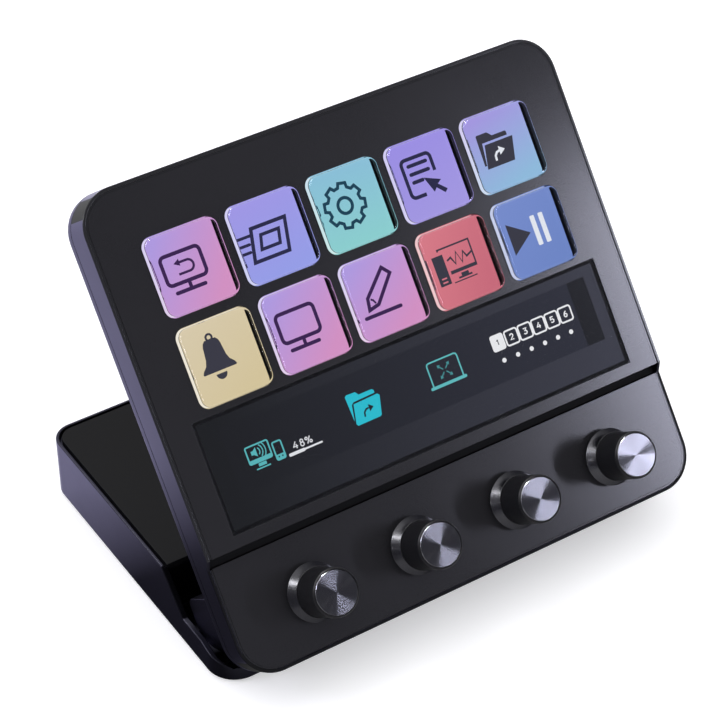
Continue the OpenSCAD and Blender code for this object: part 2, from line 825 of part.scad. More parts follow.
module strip_display() color("#15151c") place_head()
    layer(-plate_t, strip_display_t) strip_rect(lens_ledge + 2 * clear);

// A flat ribbon folded from the strip display's rear down to the main board
module strip_ribbon() color("#b06a2c") place_head()
    along_x(-ribbon_w / 2, ribbon_w) {
        translate([strip_fold_v - ribbon_foot, -strip_rear_n - ribbon_t])
            square([ribbon_foot, ribbon_t]);
        translate([strip_fold_v - ribbon_t, -board_n])
            square([ribbon_t, board_n - strip_rear_n]);
    }

// ---------- Keys ----------

module key_grid() color("#222226") place_head() layer(-plate_t, grid_t) difference() {
    field_rect(key_lip + clear + grid_border);
    at_keys() square(key_w + 2 * (key_lip + clear), center = true);
}

module key_mat() color("#d9d9d2") place_head() layer(-mat_n, mat_t) difference() {
    field_rect(key_lip + clear + grid_border);
    at_keys() square(key_w - 2 * mat_lip, center = true);
}

module switch_board() color("#1f5a3a") place_head() layer(-switch_n, switch_t) difference() {
    field_rect(key_lip + clear + grid_border);
    at_keys() square(key_w - 2 * mat_lip, center = true);
}

module key_display() color("#7fa6d8") place_head()
    layer(-key_display_n, key_display_t) field_rect(display_border);

// A board-to-board connector between the display and the main board
module key_connector() color("#b9a26a") place_head()
    layer(-board_n + board_gap, board_gap)
        translate([ribbon_w, field_v + key_r]) square([ribbon_w, ribbon_foot]);

module key(i) color("#cfd8e6") place_head() translate([key_u(i), key_v(i), 0]) {
    layer(key_proud, key_proud + plate_t + key_play) key_rect(0, key_r);
    layer(-plate_t - key_play, key_lip_t) key_rect(key_lip, key_r + key_lip);
}

module key_01() key(0);
module key_02() key(1);
module key_03() key(2);
module key_04() key(3);
module key_05() key(4);
module key_06() key(5);
module key_07() key(6);
module key_08() key(7);
module key_09() key(8);
module key_10() key(9);

// ---------- Boards ----------

module main_board() color("#1f5a3a") place_head() {
    difference() {
        layer(-board_n, board_t) outline_between(board_low_v, head_h, head_wall + board_edge);
        at_case_screws() bore(case_screw_dia / 2 + run_fit, 0, head_t);
    }
    // Processor, memory, power and connector blocks on the rear
    for (c = chips)
        translate([c[0] - c[2] / 2, board_low_v + c[1] - c[3] / 2, -board_rear_n - chip_t])
            cube([c[2], c[3], chip_t + board_t / 2]);
}

module usb_socket() color("#b4b4b8") place_head()
    translate([0, usb_front_v - usb_l, -usb_n]) {
        difference() {
            stadium_bar(usb_w, usb_h, usb_l);
            translate([0, cut, 0])
                stadium_bar(usb_w - 2 * usb_shell, usb_h - 2 * usb_shell, usb_l);
        }
        translate([-usb_tongue_w / 2, 0, -usb_tongue_t / 2])
            cube([usb_tongue_w, usb_l - cut, usb_tongue_t]);
    }

// ---------- Encoders and knobs ----------

module encoder_bodies() color("#8f9196") place_head() at_knobs() difference() {
    union() {
        translate([-enc_w / 2, -enc_h / 2, -enc_board_n]) cube([enc_w, enc_h, enc_d]);
        bore(neck_dia / 2, neck_top_n, neck_top_n + enc_n + enc_wall / 2);
    }
    bore(shaft_dia / 2 + run_fit, neck_top_n + cut, neck_top_n + cut + rotor_n);
    bore(rotor_r + clear, -rotor_n + clear, enc_board_n - enc_floor - rotor_n + clear);
}

module encoder_nuts() color("#c0c0c4") place_head() at_knobs()
    layer(-band_back + nut_t, nut_t) difference() {
        circle(d = nut_af / cos(30), $fn = 6);
        circle(neck_dia / 2 + seat_fit);
    }

module encoder_board() color("#1f5a3a") place_head()
    layer(-enc_board_n, board_t)
        translate([0, enc_board_top_v - enc_board_h]) round_rect(enc_board_w, enc_board_h, 1);

// A flat ribbon between the rears of the encoder board and the main board
module encoder_ribbon() color("#b06a2c") place_head()
    along_x(-ribbon_w / 2, ribbon_w) {
        translate([board_fold_v, -board_rear_n - ribbon_t])
            square([board_low_v - board_fold_v + ribbon_foot, ribbon_t]);
        translate([board_fold_v, -enc_board_rear_n - ribbon_t])
            square([ribbon_t, enc_board_rear_n + ribbon_t - board_rear_n]);
        translate([enc_board_top_v - ribbon_foot, -enc_board_rear_n - ribbon_t])
            square([board_fold_v + ribbon_t - enc_board_top_v + ribbon_foot, ribbon_t]);
    }

module rotor(i) color("#d8d2c0") place_head() at_knob(i)
    layer(-rotor_n, rotor_t) difference() {
        circle(rotor_r);
        circle(shaft_dia / 2 + run_fit);
    }

// The part of a shaft's section that its flat leaves
module flat_section(r, flat) {
    intersection() {
        circle(r);
        translate([-r - cut, -r - cut]) square([2 * (r + cut), 2 * r + cut - flat]);
    }
}

module shaft(i) color("#b9b9bd") place_head() at_knob(i) {
    bore(shaft_dia / 2, neck_room_n, neck_room_n + shaft_end_n);
    layer(shaft_top_n, shaft_top_n - neck_room_n)
        flat_section(shaft_dia / 2, shaft_flat);
}

// A knob turned from one piece: flange, grip, rim and the seat of its bright disc
module knob(i) color("#2b2b2f") place_head() at_knob(i) difference() {
    rotate_extrude() polygon([
        [0, underside_n], [flange_r - edge, underside_n],
        [flange_r, underside_n + edge], [flange_r, underside_n + flange_h * 2 / 3],
        [flange_r - edge, underside_n + flange_h * 5 / 6],
        [grip_r + edge, underside_n + flange_h], [grip_r, underside_n + flange_h],
        [grip_r, cap_n - edge], [grip_r - edge, cap_n], [0, cap_n]]);
    bore(disc_r + seat_fit, cap_n + cut, disc_t + cut);
    bore(nut_room_r, nut_room_n, nut_room_n - underside_n + cut);
    bore(neck_room_r, neck_room_n, neck_room_n - underside_n + cut);
    layer(shaft_top_n, shaft_top_n - underside_n)
        flat_section(shaft_dia / 2 + seat_fit, shaft_flat);
}

module knob_cap(i) color("#dadade") place_head() at_knob(i)
    bore(disc_r, cap_n, disc_t);

module rotor_1() rotor(0);
module rotor_2() rotor(1);
module rotor_3() rotor(2);
module rotor_4() rotor(3);
module shaft_1() shaft(0);
module shaft_2() shaft(1);
module shaft_3() shaft(2);
module shaft_4() shaft(3);
module knob_1() knob(0);
module knob_2() knob(1);
module knob_3() knob(2);
module knob_4() knob(3);
module knob_cap_1() knob_cap(0);
module knob_cap_2() knob_cap(1);
module knob_cap_3() knob_cap(2);
module knob_cap_4() knob_cap(3);

base_shell();
base_top();
ballast_plate();
rubber_feet();
base_screws();
hinge_posts();
hinge_pins();
hinge_washers();
head_frame();
front_plate();
knob_plate();
rear_cover();
hinge_housing();
hinge_leaves();
case_screws();
leaf_screws();
strip_lens();
touch_sensor();
strip_display();
key_grid();
key_mat();
switch_board();
key_display();
strip_ribbon();
key_connector();
main_board();
encoder_ribbon();
usb_socket();
encoder_bodies();
encoder_nuts();
encoder_board();
key_01();
key_02();
key_03();
key_04();
key_05();
key_06();
key_07();
key_08();
key_09();
key_10();
rotor_1();
rotor_2();
rotor_3();
rotor_4();
shaft_1();
shaft_2();
shaft_3();
shaft_4();
knob_1();
knob_2();
knob_3();
knob_4();
knob_cap_1();
knob_cap_2();
knob_cap_3();
knob_cap_4();
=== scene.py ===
import math

import bmesh
import bpy
from mathutils import Matrix, Vector


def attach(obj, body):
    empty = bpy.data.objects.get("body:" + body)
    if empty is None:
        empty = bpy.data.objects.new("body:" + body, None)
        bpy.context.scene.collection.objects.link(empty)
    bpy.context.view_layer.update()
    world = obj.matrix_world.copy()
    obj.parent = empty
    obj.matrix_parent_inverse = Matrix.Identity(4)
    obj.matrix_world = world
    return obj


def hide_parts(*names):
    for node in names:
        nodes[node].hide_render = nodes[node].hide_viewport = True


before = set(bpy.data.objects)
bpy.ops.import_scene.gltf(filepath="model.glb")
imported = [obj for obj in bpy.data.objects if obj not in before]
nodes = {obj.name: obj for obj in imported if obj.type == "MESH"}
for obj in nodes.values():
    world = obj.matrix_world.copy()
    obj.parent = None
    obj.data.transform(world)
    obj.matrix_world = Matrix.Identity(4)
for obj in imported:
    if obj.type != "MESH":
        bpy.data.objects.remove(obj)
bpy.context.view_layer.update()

scene = bpy.context.scene

# ---------------------------------------------------------------- Camera
# A long lens on a tripod, in front of the keypad, to its left and above it, so that the
# keypad's edges run nearly parallel.
lens_mm = 125.425
camera_place, camera_aim = (-0.2740, -0.41297, 0.46145), (0.420, 0.6455, -0.638)
camera_data = bpy.data.cameras.new("camera")
camera_data.sensor_fit = "HORIZONTAL"
camera_data.sensor_width = 36.0
camera_data.lens = lens_mm
camera = bpy.data.objects.new("camera", camera_data)
scene.collection.objects.link(camera)
camera.location = camera_place
camera.rotation_euler = Vector(camera_aim).to_track_quat("-Z", "Y").to_euler()
scene.camera = camera
scene.view_settings.view_transform = "Standard"


# ---------------------------------------------------------------- Table and studio
# A white laminate table in a studio that is white ahead and dim behind the camera. A large
# soft box hangs high at the rear left, a narrow cool one at the right gives the satin panels
# their sheen, and small ones draw the bright fans on turned metal.
class Wire:
    """A socket in a material. Arithmetic on it adds Math nodes."""

    def __init__(self, look, socket):
        self.look, self.socket = look, socket

    def math(self, operation, first, second):
        return self.look.add("ShaderNodeMath", {"operation": operation}, {0: first, 1: second})

    def __add__(self, other):
        return self.math("ADD", self, other)

    def __sub__(self, other):
        return self.math("SUBTRACT", self, other)

    def __rsub__(self, other):
        return self.math("SUBTRACT", other, self)

    def __mul__(self, other):
        return self.math("MULTIPLY", self, other)

    def __truediv__(self, other):
        return self.math("DIVIDE", self, other)

    def __rtruediv__(self, other):
        return self.math("DIVIDE", other, self)

    __radd__ = __add__
    __rmul__ = __mul__

    def held(self):
        """The value, held between 0 and 1."""
        return self.math("MAXIMUM", self.math("MINIMUM", self, 1.0), 0.0)


class Look:
    """A material, or the world, built from nodes."""

    def __init__(self, owner, output="ShaderNodeOutputMaterial"):
        owner.use_nodes = True
        self.owner, self.tree = owner, owner.node_tree
        self.tree.nodes.clear()
        self.output = self.tree.nodes.new(output)

    def add(self, kind, settings=None, sockets=None, out=0):
        """A node of this kind: its settings, then the values or wires of its sockets."""
        node = self.tree.nodes.new(kind)
        for name, value in (settings or {}).items():
            setattr(node, name, value)
        for name, value in (sockets or {}).items():
            socket = node.inputs[name]
            if isinstance(value, Wire):
                self.tree.links.new(value.socket, socket)
            elif isinstance(value, tuple) or isinstance(socket.default_value, float):
                socket.default_value = value
            else:
                socket.default_value = (value,) * len(socket.default_value)
        return Wire(self, node.outputs[out])

    def place(self, kind="Object"):
        return self.add("ShaderNodeTexCoord", out=kind)

    def axis(self, vector, name):
        return self.add("ShaderNodeSeparateXYZ", None, {0: vector}, name)

    def noise(self, scale, detail=2.0, rough=0.5):
        return self.add("ShaderNodeTexNoise", None, {"Vector": self.place(), "Scale": scale,
                        "Detail": detail, "Roughness": rough})

    def blend(self, factor, low, high):
        return self.add("ShaderNodeMix", {"data_type": "RGBA"}, {0: factor, 6: low, 7: high}, 2)

    def bump(self, height, distance, strength):
        return self.add("ShaderNodeBump", None, {"Height": height, "Distance": distance,
                        "Strength": strength})

    def surface(self, shader, sockets):
        wire = self.add(shader, None, sockets)
        self.tree.links.new(wire.socket, self.output.inputs["Surface"])
        return self.owner

    def principled(self, **sockets):
        return self.surface("ShaderNodeBsdfPrincipled",
                            {name.replace("_", " "): value for name, value in sockets.items()})


def gray(level):
    return (level, level, level, 1)


def seen(look, *names):
    """1 on rays of the named kinds."""
    return sum(look.add("ShaderNodeLightPath", out=name) for name in names).held()


world = bpy.data.worlds.new("studio")
scene.world = world
look = Look(world, "ShaderNodeOutputWorld")
ahead = (look.axis(look.place("Generated"), "Y") * 1.6 + 0.3).held()
mirrored = look.blend(ahead, (0.060, 0.060, 0.075, 1), (1, 1, 1, 1))
mirror_rays = seen(look, "Is Glossy Ray", "Is Transmission Ray")
lit = look.blend(mirror_rays, (1.05, 1.05, 1.07, 1), mirrored)
look.surface("ShaderNodeBackground", {"Strength": 1.0,
             "Color": look.blend(seen(look, "Is Camera Ray"), lit, (1, 1, 1, 1))})

# The table glows a little, so that it shows white. Only in a mirror it carries painted light
# and shade: a painted pool of light behind the keypad, painted shade in front of it, and a
# touch of painted light again at the front edge of the base.
table_glow, painted_rear_light, painted_lip_light, painted_front_shade = 0.36, 0.6, 0.35, 0.92
rear_start, rear_run, lip_start, lip_run = 0.01, 0.04, -0.034, 0.008
table_half = 3.0
table_mesh = bpy.data.meshes.new("table")
bm = bmesh.new()
bmesh.ops.create_grid(bm, x_segments=24, y_segments=24, size=table_half)
bm.to_mesh(table_mesh)
bm.free()
table = bpy.data.objects.new("table", table_mesh)
scene.collection.objects.link(table)
look = Look(bpy.data.materials.new("white_laminate"))
laminate = look.blend(look.noise(900.0, 3.0), (0.80, 0.80, 0.81, 1), (0.83, 0.83, 0.83, 1))
depth = look.axis(look.place(), "Y")
# Masks of the painted pool of light behind the keypad and of the painted light at the base's front
# edge
rear = ((depth - rear_start) / rear_run).held()
lip = ((lip_start - depth) / lip_run).held()
mirror_ray = seen(look, "Is Glossy Ray")
glow_and_painted_light = (seen(look, "Is Camera Ray", "Is Transmission Ray") * table_glow
              + mirror_ray * (rear * painted_rear_light + lip * painted_lip_light))
table_mesh.materials.append(look.principled(
    # In a mirror the table is darkened in front of the painted pool, as painted shade
    Base_Color=look.blend(mirror_ray * (1.0 - rear) * painted_front_shade, laminate, gray(0.02)),
    Roughness=0.75, Specular_IOR_Level=0.2, Emission_Strength=1.0,
    Emission_Color=look.blend(glow_and_painted_light, gray(0), gray(1.0))))


def soft_box(name, place, target, size, power, color, roll=0.0, sheen_only=False):
    """An area lamp turned to its target. One for sheen only lights no matt surface."""
    data = bpy.data.lights.new(name, "AREA")
    data.shape, (data.size, data.size_y) = "RECTANGLE", size
    data.energy, data.color = power, color
    lamp = bpy.data.objects.new(name, data)
    scene.collection.objects.link(lamp)
    lamp.location = place
    lamp.visible_diffuse = not sheen_only
    aim = (Vector(target) - Vector(place)).to_track_quat("-Z", "Y").to_matrix()
    lamp.rotation_euler = (aim @ Matrix.Rotation(math.radians(roll), 3, "Z")).to_euler()


middle, white, cool = (0, 0, 0.05), (1.0, 1.0, 1.0), (0.80, 0.80, 1.0)
soft_box("rear_box", (-0.5, 0.5, 1.3), middle, (1.8, 1.4), 4.5, (1.0, 0.99, 0.98))
soft_box("top_box", (-0.04, 0.66, 1.16), middle, (0.22, 0.22), 6.0, white, sheen_only=True)
soft_box("shoulder_box", (-0.78, 0.0, 1.05), middle, (0.2, 0.2), 2.6, white, sheen_only=True)
soft_box("right_box", (0.585, -0.729, 0.437), (0.0828, -0.0346, 0.0355), (0.06, 0.29), 1.28,
         (0.80, 0.81, 1.0), roll=-20)
soft_box("left_box", (-1.0, 0.35, 0.75), middle, (0.3, 0.3), 2.2, cool)

# ---------------------------------------------------------------- Base shell
# The weighted foot: one moulded tray with a low bay for the hinge in front, sprayed with a
# satin slate paint that has a fine metallic flake. Its edges are broken by the mould.
MM = 0.001


def link(name, mesh, material, place=None):
    """Puts a finished mesh in the scene as a piece."""
    if material:
        mesh.materials.append(material)
    piece = bpy.data.objects.new(name, mesh)
    scene.collection.objects.link(piece)
    if place:
        piece.matrix_world = place
    level = piece.modifiers.new("level", "WEIGHTED_NORMAL")
    level.keep_sharp, level.weight = True, 100
    return piece


def shade(bm, sharp=32.0):
    """Smooth faces that meet at a small angle, and keep the real edges crisp."""
    for face in bm.faces:
        face.smooth = True
    for edge in bm.edges:
        if len(edge.link_faces) == 2:
            edge.smooth = edge.calc_face_angle(0.0) < math.radians(sharp)


def broken_edges(node, name, material, radius, steps=2):
    """The node's own shape with its sharp edges rounded by a radius in mm."""
    flat, sharp = math.radians(0.3), math.radians(40.0)
    bm = bmesh.new()
    bm.from_mesh(nodes[node].data)
    bmesh.ops.remove_doubles(bm, verts=bm.verts, dist=1e-6)
    bmesh.ops.dissolve_limit(bm, angle_limit=flat, verts=bm.verts, edges=bm.edges)
    edges = [e for e in bm.edges if len(e.link_faces) == 2 and e.calc_face_angle(0.0) > sharp]
    bmesh.ops.bevel(bm, geom=edges, offset=radius * MM, offset_type="OFFSET", segments=steps,
                    profile=0.5, affect="EDGES", clamp_overlap=False)
    shade(bm)
    mesh = bpy.data.meshes.new(name)
    bm.to_mesh(mesh)
    bm.free()
    return link(name, mesh, material)


look = Look(bpy.data.materials.new("slate_paint"))
flake = look.noise(5200.0, 2.0, 0.6)
drift = look.noise(22.0, 2.0)
slate = look.principled(
    Base_Color=look.blend(flake * 0.6 + drift * 0.4, (0.020, 0.020, 0.026, 1),
                          (0.046, 0.045, 0.062, 1)),
    Metallic=1.0, Roughness=look.noise(60.0, 3.0) * 0.08 + 0.30,
    Specular_Tint=(0.76, 0.74, 0.95, 1),
    Normal=look.bump(flake, 0.00001, 0.3))
base_shell = broken_edges("base_shell", "base_tray", slate, 0.3, 3)
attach(base_shell, "base")
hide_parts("base_shell")

# ---------------------------------------------------------------- Base top
# A flat lid let into the tray, moulded in black plastic with a soft-touch coat that takes
# nearly all the shine away.
look = Look(bpy.data.materials.new("soft_charcoal"))
grain = look.noise(4200.0, 3.0, 0.65)
patch = look.noise(35.0, 3.0)
charcoal = look.principled(
    Base_Color=look.blend(grain * 0.5 + patch * 0.5, (0.0026, 0.0026, 0.0036, 1),
                          (0.0052, 0.0052, 0.0066, 1)),
    Roughness=patch * 0.08 + 0.46, Specular_IOR_Level=0.08,
    Normal=look.bump(grain, 0.00001, 0.45))
base_top = broken_edges("base_top", "base_lid", charcoal, 0.2)
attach(base_top, "base")
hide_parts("base_top")

# ---------------------------------------------------------------- Feet and base screws
# Four rubber discs pressed into the underside, with plain steel screws beside them, and a
# plain steel plate inside the tray as ballast.
look = Look(bpy.data.materials.new("black_rubber"))
pores = look.noise(2600.0, 4.0, 0.7)
rubber = look.principled(
    Base_Color=look.blend(pores, (0.012, 0.012, 0.012, 1), (0.028, 0.028, 0.028, 1)),
    Roughness=0.78, Specular_IOR_Level=0.3, Normal=look.bump(pores, 0.00003, 0.5))
feet = broken_edges("rubber_feet", "feet", rubber, 0.3)
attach(feet, "base")
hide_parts("rubber_feet")


def plain_metal(name, low, high):
    """Bare metal, as it comes from the mill."""
    look = Look(bpy.data.materials.new(name))
    drawn = look.noise(3000.0, 3.0, 0.6)
    return look.principled(Base_Color=look.blend(drawn, low, high), Metallic=1.0,
                           Roughness=drawn * 0.15 + 0.25)


def refinish(names, material):
    """Gives a material to CAD nodes that keep their shape."""
    for name in names:
        slots = nodes[name].material_slots
        if not slots:
            nodes[name].data.materials.append(material)
        for slot in slots:
            slot.material = material


steel = plain_metal("turned_steel", (0.42, 0.42, 0.43, 1), (0.58, 0.58, 0.60, 1))
refinish(["base_screws", "ballast_plate"], steel)

# ---------------------------------------------------------------- Hinge
# Two steel posts stand in the bay and pins carry the head on them. Friction washers are
# brass, and the leaves are pressed steel screwed to the head's rear cover.
brass = plain_metal("plain_brass", (0.55, 0.40, 0.17, 1), (0.68, 0.52, 0.25, 1))
refinish(["hinge_posts", "hinge_pins", "hinge_leaves", "leaf_screws"], steel)
refinish(["hinge_washers"], brass)

# ---------------------------------------------------------------- Hinge housing
# A moulded cowl behind the knob band that hides the hinge's leaves. It is sprayed in the
# base's slate paint and screwed to the rear cover.
housing = broken_edges("hinge_housing", "hinge_cowl", slate, 0.3, 3)
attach(housing, "head")
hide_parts("hinge_housing")

# ---------------------------------------------------------------- Head frame
# A shallow moulded frame with a narrow satin rim, in the same slate paint outside. Head pieces
# are drawn flat in mm, X across, Y up the face and Z out of the rim, and HEAD stands them up.
# The wall to the right of the knobs gets a pale grey, as painted light on it.
TILT = math.radians(50.8)
HINGE = Vector((0, -0.0283096, 0.0124))
HINGE_FLAT = Vector((0, 12.1, -19.5)) * MM
HEAD = (Matrix.Translation(HINGE) @ Matrix.Rotation(TILT, 4, "X")
        @ Matrix.Translation(-HINGE_FLAT))
head_w, head_h, head_r = 138.0, 124.6, 10.0


def paint(piece, material, chosen):
    """Gives a material to the faces that chosen picks. It gets a face's place x, y, n in mm on
    the head, and how far the face looks across and up."""
    piece.data.materials.append(material)
    into_head = HEAD.inverted() @ piece.matrix_world
    for face in piece.data.polygons:
        x, y, n = into_head @ face.center / MM
        across, _, up = into_head.to_3x3() @ face.normal
        if chosen(x, y, n, across, up):
            face.material_index = len(piece.data.materials) - 1


def grained(name, low, high, scale=1500.0, detail=2.0, **finish):
    """A finish whose tone varies finely between two colours."""
    look = Look(bpy.data.materials.new(name))
    return look.principled(Base_Color=look.blend(look.noise(scale, detail), low, high), **finish)


moulding_and_painted_shade = grained("black_moulding_and_painted_shade", (0.003, 0.003, 0.004, 1), (0.006, 0.006, 0.007, 1),
                   Roughness=0.6, Specular_IOR_Level=0.2)
# Painted light: a pale grey, lighter than the frame's paint, for the end wall beside the knobs
painted_light_wall = grained("painted_light_end_wall", (0.18, 0.18, 0.22, 1), (0.22, 0.22, 0.27, 1),
                 Roughness=0.5, Specular_IOR_Level=0.4)
look = Look(bpy.data.materials.new("satin_rim"))
grain = look.noise(1500.0, 2.0)
satin_rim = look.principled(
    Base_Color=look.blend(grain, (0.015, 0.015, 0.017, 1), (0.021, 0.021, 0.024, 1)),
    Roughness=grain * 0.04 + 0.17, Specular_IOR_Level=0.6)

rim_w, rim_deep, groove_low, groove_high, band_n = 1.15, 0.4, 29.9, 32.3, -2.2
painted_light_from, painted_light_to = 55.0, head_w / 2 - 0.5
frame_piece = broken_edges("head_frame", "head_frame_shell", slate, 0.22, 3)
paint(frame_piece, moulding_and_painted_shade, lambda x, y, n, across, up:
      abs(x) < head_w / 2 - rim_w and rim_w < y < head_h - rim_w)
# The left-facing end wall to the right of the knob band takes the painted light
paint(frame_piece, painted_light_wall, lambda x, y, n, across, up:
      painted_light_from < x < painted_light_to and y < groove_low and n > band_n - 0.1 and across < -0.3)
paint(frame_piece, satin_rim, lambda x, y, n, across, up: up > 0.5 and n > -rim_deep)
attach(frame_piece, "head")
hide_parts("head_frame")

# ---------------------------------------------------------------- Rear cover
# The head's back: a shallow moulded pan with a soft rear edge, in slate paint. It meets the
# frame at a fine seam, and case screws hold it on.
seam_n, rear_n, rear_round, pan_wall, pan_floor = -8.9, -12.7, 1.9, 2.2, 1.8
seam_gap, seam_inset = 0.05, 0.2


def bow(x, y, r, start, end, steps=12):
    """Points on an arc, angles in degrees."""
    turns = [math.radians(start + (end - start) * k / steps) for k in range(steps + 1)]
    return [(x + r * math.cos(a), y + r * math.sin(a)) for a in turns]


def rect(x0, y0, x1, y1, r=0.0, steps=6):
    """A rectangle, with round corners where r is given."""
    if r <= 0:
        return [(x0, y0), (x1, y0), (x1, y1), (x0, y1)]
    corners = ((x1 - r, y0 + r, -90), (x1 - r, y1 - r, 0), (x0 + r, y1 - r, 90),
               (x0 + r, y0 + r, 180))
    return [point for x, y, start in corners
            for point in bow(x, y, r, start, start + 90, steps)]


def rounded_loop(inset):
    """The head's outline, drawn in by inset."""
    return rect(inset - head_w / 2, inset, head_w / 2 - inset, head_h - inset, head_r - inset, 10)


def quarter(r, steps):
    """Points of a rounded edge: how far each has drawn in, and how far it has risen."""
    turns = [math.radians(90 * k / steps) for k in range(steps + 1)]
    return [(r * (1 - math.cos(a)), r * math.sin(a)) for a in turns]


def stack(name, rings, material, place):
    """Joins rings of the same number of points, each (points, height), and caps both ends."""
    bm = bmesh.new()
    rows = [[bm.verts.new((x * MM, y * MM, z * MM)) for x, y in points] for points, z in rings]
    count = len(rows[0])
    for low, high in zip(rows, rows[1:]):
        for k in range(count):
            bm.faces.new((low[k], low[(k + 1) % count], high[(k + 1) % count], high[k]))
    bm.faces.new(rows[0])
    bm.faces.new(rows[-1])
    bmesh.ops.recalc_face_normals(bm, faces=bm.faces)
    shade(bm)
    mesh = bpy.data.meshes.new(name)
    bm.to_mesh(mesh)
    bm.free()
    return link(name, mesh, material, place)


pan_profile = [(pan_wall, rear_n + pan_floor), (pan_wall, seam_n - seam_gap),
               (seam_inset, seam_n - seam_gap), (0.05, seam_n - 0.12), (0.0, seam_n - 0.25)]
pan_profile += [(inset, rear_n + rear_round - rise) for inset, rise in quarter(rear_round, 6)]
cover = stack("rear_pan", [(rounded_loop(inset), n) for inset, n in pan_profile], slate, HEAD)
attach(cover, "head")
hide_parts("rear_cover")
refinish(["case_screws"], steel)

# ---------------------------------------------------------------- Front plate and knob plate
# Two flat panels let into the frame with a fine gap round them, stamped from aluminium,
# anodised black and finely blasted, so that they keep a satin sheen.
look = Look(bpy.data.materials.new("satin_black"))
blast = look.noise(5200.0, 3.0, 0.6)
cloud = look.noise(28.0, 3.0)
satin = look.principled(
    Base_Color=look.blend(blast * 0.5 + cloud * 0.5, (0.0130, 0.0128, 0.0150, 1),
                          (0.0210, 0.0205, 0.0235, 1)),
    Roughness=cloud * 0.03 + 0.175, Specular_IOR_Level=0.6)
front_plate = broken_edges("front_plate", "front_panel", satin, 0.12)
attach(front_plate, "head")
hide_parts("front_plate")
knob_plate = broken_edges("knob_plate", "knob_panel", satin, 0.12)
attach(knob_plate, "head")
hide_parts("knob_plate")

# ---------------------------------------------------------------- Panel seals
# Thin satin strips that close the gap between the two panels and the frame, just below their
# faces, so that no light leaks out.
seal_outer, seal_inner, seal_t, seal_sunk, seal_lap = 0.93, 1.38, 0.2, 0.2, 0.2


def half_ring(corner_rows, y_end):
    """A band between two head outlines, over the two corners on one side of y_end."""
    sides = []
    for inset in (seal_outer, seal_inner):
        loop = rounded_loop(inset)
        corner = len(loop) // 4
        points = [loop[k] for row in corner_rows for k in range(corner * row, corner * (row + 1))]
        first, last = points[0][0], points[-1][0]
        sides.append([(first, y_end)] + points + [(last, y_end)])
    return sides[0] + sides[1][::-1]


def flat_shape(name, groups, material, place, thickness):
    """A flat plate from 2D outlines in mm. Each group of outlines is filled on its own, and
    one inside another is a hole."""
    bm = bmesh.new()
    for loops in groups:
        curve = bpy.data.curves.new(name, "CURVE")
        curve.dimensions, curve.fill_mode = "2D", "BOTH"
        curve.extrude = thickness * MM / 2
        for points in loops:
            spline = curve.splines.new("POLY")
            spline.points.add(len(points) - 1)
            for point, (x, y) in zip(spline.points, points):
                point.co = (x * MM, y * MM, 0, 1)
            spline.use_cyclic_u = True
        source = bpy.data.objects.new(name, curve)
        mesh = bpy.data.meshes.new_from_object(source)
        bpy.data.objects.remove(source)
        bm.from_mesh(mesh)
        bpy.data.meshes.remove(mesh)
    bmesh.ops.remove_doubles(bm, verts=bm.verts, dist=1e-7)
    shade(bm)
    mesh = bpy.data.meshes.new(name)
    bm.to_mesh(mesh)
    bm.free()
    return link(name, mesh, material, place)


def at(x, y, n):
    """A place on the head, in mm."""
    return HEAD @ Matrix.Translation(Vector((x, y, n)) * MM)


for name, corners, y_end, n in (("upper_seal", (1, 2), groove_high + seal_lap, 0.0),
                                ("lower_seal", (3, 0), groove_low - seal_lap, band_n)):
    seal = flat_shape(name, [[half_ring(corners, y_end)]], satin_rim,
                      at(0, 0, n - seal_sunk - seal_t / 2), seal_t)
    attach(seal, "head")

# ---------------------------------------------------------------- Touch strip
# A strip of etched glass, bonded over a black screen that lights up with simple signs. A
# band of ink hides the bond; it glows, brighter to the right as a painted sheen, and so do
# the glass's edges. The front plate is black inside the strip's opening.
strip_x, strip_low, strip_high, strip_r, lens_t = 60.25, 35.5, 64.4, 0.5, 0.9
screen_inset, screen_t, bond = 1.3, 0.65, 0.1


def strip_rect(inset, r=0.0):
    """The strip's outline, drawn in by inset."""
    return rect(inset - strip_x, strip_low + inset, strip_x - inset, strip_high - inset, r)


look = Look(bpy.data.materials.new("etched_glass"))
etch = look.noise(60.0, 2.0)
strip_glass = look.principled(Base_Color=gray(0.96), Roughness=etch * 0.015 + 0.03, IOR=1.4,
                              Transmission_Weight=1.0)
lens = flat_shape("strip_glass", [[strip_rect(0.0, strip_r)]], strip_glass,
                  at(0, 0, -lens_t / 2), lens_t)
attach(lens, "head")
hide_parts("strip_lens")

dark_screen = grained("dark_screen", (0.022, 0.023, 0.026, 1), (0.030, 0.031, 0.036, 1),
                      2500.0, 1.0, Roughness=0.5, Specular_IOR_Level=0.2)
beside, ledge_n, facing_out = 0.6, -0.3, 0.98
paint(front_plate, dark_screen, lambda x, y, n, across, up:
      abs(x) < strip_x + beside and strip_low - beside < y < strip_high + beside
      and (abs(up) < facing_out or n < ledge_n))
screen = flat_shape("strip_screen", [[strip_rect(screen_inset)]], dark_screen,
                    at(0, 0, -lens_t - bond - screen_t / 2), screen_t)
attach(screen, "head")
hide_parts("touch_sensor")
refinish(["strip_display", "key_display"], dark_screen)


def glow(name, low, high, slope=(1.0, 0.0), size=10.0):
    """A lit picture whose colour runs from low to high along slope, from -size to size mm."""
    look = Look(bpy.data.materials.new(name))
    place = look.place()
    run = ((look.axis(place, "X") * slope[0] + look.axis(place, "Y") * slope[1])
           / (2 * size * MM) + 0.5).held()
    return look.principled(
        Base_Color=gray(0.0), Roughness=0.6, Specular_IOR_Level=0.0, Emission_Strength=1.0,
        Emission_Color=look.blend(run, low, high))


def srgb(code):
    """The linear colour of a hex code."""
    values = [int(code[k:k + 2], 16) / 255 for k in (0, 2, 4)]
    return tuple(v / 12.92 if v <= 0.04045 else ((v + 0.055) / 1.055) ** 2.4
                 for v in values) + (1,)


